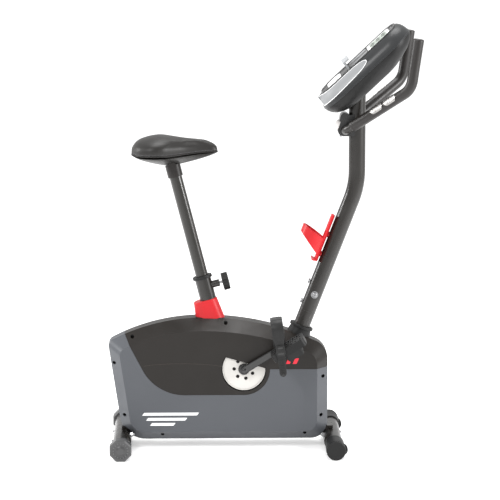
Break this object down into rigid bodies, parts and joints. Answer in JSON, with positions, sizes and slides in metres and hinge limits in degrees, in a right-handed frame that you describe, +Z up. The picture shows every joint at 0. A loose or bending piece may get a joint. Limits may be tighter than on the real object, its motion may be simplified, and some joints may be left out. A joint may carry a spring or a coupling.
{
  "type": "upright exercise bike",
  "caption": "Upright stationary bike: cased flywheel drive turned by crank and pedals, height-adjustable saddle on a sloping post, console and tilting handlebar on a bent mast.",
  "frame": {"origin": "on the floor, under the middle of the bike's bounding box", "axes": "+X forward from the saddle to the console, +Y to the rider's left, +Z up"},
  "size_m": [0.9488, 0.45, 1.3015],
  "materials": {
    "frame_paint": "gloss",
    "arm_steel": "satin",
    "shell_grey": "satin",
    "shell_black": "satin",
    "coral_plastic": "satin",
    "black_plastic": "textured",
    "grey_plastic": "satin",
    "clamp_cover": "gloss",
    "console_plastic": "satin",
    "pale_plastic": "satin",
    "white_plastic": "satin",
    "button_plastic": "gloss",
    "screen": "clear",
    "zinc_steel": "bright",
    "post_chrome": "polished",
    "plate_steel": "ribbed",
    "crank_steel": "gloss",
    "flywheel_iron": "machined",
    "pulley_plastic": "moulded",
    "belt_rubber": "ribbed",
    "wheel_rubber": "smooth",
    "pedal_plastic": "textured",
    "strap_rubber": "embossed",
    "foam": "foam",
    "saddle_cover": "grained",
    "inlet_plastic": "gloss"
  },
  "bodies": {
    "frame": {"base_rail": "frame_paint", "seat_tube": "frame_paint", "mast_stub": "frame_paint", "rear_stabilizer": "frame_paint", "front_stabilizer": "frame_paint", "stabilizer_bolts": "zinc_steel", "front_end_caps": "black_plastic", "lower_shroud_left": "shell_grey", "lower_shroud_right": "shell_grey", "upper_shroud_left": "shell_black", "upper_shroud_right": "shell_black", "shroud_screws": "zinc_steel", "seat_collar": "coral_plastic", "mast_bezel": "black_plastic", "seat_tube_bushing": "black_plastic", "pin_spring": "zinc_steel", "mast_tube": "frame_paint", "mast_bolts": "zinc_steel", "bottle_cage": "coral_plastic", "bar_clamp_cap": "clamp_cover", "console_back": "black_plastic", "console_front": "console_plastic", "screen_window": "screen", "reading_ledge": "pale_plastic", "console_trims": "pale_plastic", "power_inlet": "inlet_plastic", "magnet_motor": "black_plastic", "bearings": "zinc_steel", "drive_belt": "belt_rubber"},
    "rear_leveller_right": {"rear_leveller_right": "grey_plastic"},
    "rear_leveller_left": {"rear_leveller_left": "grey_plastic"},
    "transport_wheel_right": {"transport_wheel_right": "wheel_rubber"},
    "transport_wheel_left": {"transport_wheel_left": "wheel_rubber"},
    "seat": {"seat_post": "post_chrome", "seat_clamp": "arm_steel", "saddle_base": "black_plastic", "saddle_pad": "saddle_cover"},
    "lock": {"lock_pin": "zinc_steel", "lock_knob": "black_plastic"},
    "handlebar": {"handlebar_tube": "frame_paint", "grip_right": "foam", "grip_left": "foam", "pulse_plates": "plate_steel"},
    "crank": {"crank_axle": "zinc_steel", "crank_right": "crank_steel", "crank_left": "crank_steel", "crank_disc_right": "white_plastic", "crank_disc_left": "white_plastic", "drive_pulley": "pulley_plastic", "pedal_spindles": "zinc_steel"},
    "pedal_right": {"pedal_right": "pedal_plastic", "toe_strap_right": "strap_rubber"},
    "pedal_left": {"pedal_left": "pedal_plastic", "toe_strap_left": "strap_rubber"},
    "flywheel": {"flywheel": "flywheel_iron", "flywheel_axle": "zinc_steel"},
    "magnet_arm": {"magnet_arm": "arm_steel"},
    "console_button_1": {"console_button_1": "button_plastic"},
    "console_button_2": {"console_button_2": "button_plastic"},
    "console_button_3": {"console_button_3": "button_plastic"}
  },
  "joints": [
    {"name": "crank_spin", "type": "hinge", "parent": "frame", "child": "crank", "pos_m": [-0.0595, 0, 0.251], "axis": [0, 1, 0], "continuous": true},
    {"name": "flywheel_spin", "type": "hinge", "parent": "frame", "child": "flywheel", "pos_m": [-0.305, 0, 0.19], "axis": [0, 1, 0], "continuous": true},
    {"name": "pedal_right_spin", "type": "hinge", "parent": "crank", "child": "pedal_right", "pos_m": [0.08134, -0.145, 0.33697], "axis": [0, 1, 0], "continuous": true},
    {"name": "pedal_left_spin", "type": "hinge", "parent": "crank", "child": "pedal_left", "pos_m": [-0.20034, 0.145, 0.16503], "axis": [0, 1, 0], "continuous": true},
    {"name": "seat_height", "type": "slide", "parent": "frame", "child": "seat", "axis": [-0.2504, 0, 0.9681], "range_m": [-0.2, 0.075]},
    {"name": "lock_pin_pull", "type": "slide", "parent": "frame", "child": "lock", "axis": [0.9681, 0, 0.2504], "range_m": [-0.008, 0], "stiffness_N_per_m": 1500},
    {"name": "handlebar_tilt", "type": "hinge", "parent": "frame", "child": "handlebar", "pos_m": [0.249, 0, 0.981], "axis": [0, 1, 0], "range_deg": [-8, 15]},
    {"name": "rear_leveller_right_turn", "type": "hinge", "parent": "frame", "child": "rear_leveller_right", "pos_m": [-0.4355, -0.205, 0.033], "axis": [0, 1, 0], "range_deg": [-180, 180]},
    {"name": "rear_leveller_left_turn", "type": "hinge", "parent": "frame", "child": "rear_leveller_left", "pos_m": [-0.4355, 0.205, 0.033], "axis": [0, 1, 0], "range_deg": [-180, 180]},
    {"name": "transport_wheel_right_spin", "type": "hinge", "parent": "frame", "child": "transport_wheel_right", "pos_m": [0.2355, -0.173, 0.023], "axis": [0, 1, 0], "continuous": true},
    {"name": "transport_wheel_left_spin", "type": "hinge", "parent": "frame", "child": "transport_wheel_left", "pos_m": [0.2355, 0.173, 0.023], "axis": [0, 1, 0], "continuous": true},
    {"name": "magnet_arm_lift", "type": "hinge", "parent": "frame", "child": "magnet_arm", "pos_m": [-0.224, 0, 0.29], "axis": [0, 1, 0], "range_deg": [0, 6]},
    {"name": "console_button_1_press", "type": "slide", "parent": "frame", "child": "console_button_1", "axis": [0.6845, 0, -0.729], "range_m": [0, 0.001], "stiffness_N_per_m": 800},
    {"name": "console_button_2_press", "type": "slide", "parent": "frame", "child": "console_button_2", "axis": [0.6845, 0, -0.729], "range_m": [0, 0.001], "stiffness_N_per_m": 800},
    {"name": "console_button_3_press", "type": "slide", "parent": "frame", "child": "console_button_3", "axis": [0.6845, 0, -0.729], "range_m": [0, 0.001], "stiffness_N_per_m": 800}
  ],
  "couplings": [
    {"joint": "flywheel_spin", "follows": "crank_spin", "ratio": 5.25}
  ]
}
